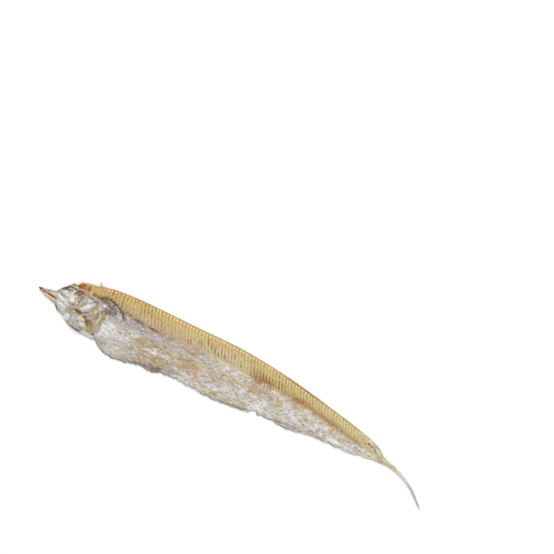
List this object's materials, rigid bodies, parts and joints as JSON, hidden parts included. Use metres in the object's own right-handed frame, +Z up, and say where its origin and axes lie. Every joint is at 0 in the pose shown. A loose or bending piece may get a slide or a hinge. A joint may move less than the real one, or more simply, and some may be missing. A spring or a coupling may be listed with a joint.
{
  "type": "dried ribbonfish",
  "caption": "Whole dried ribbonfish lying on its side, with a ribbed yellow back, a silvery papery flank, a pointed bony head and a whip tail.",
  "frame": {"origin": "middle of the fish's bounding box, on the surface that it lies on", "axes": "+X along the fish from snout to tail, +Y towards its ribbed back, +Z up, out of the side that shows"},
  "size_m": [0.4012, 0.0676, 0.0109],
  "materials": {
    "dry_skin": "satin"
  },
  "bodies": {
    "root": {"ribbonfish": "dry_skin"}
  },
  "joints": []
}
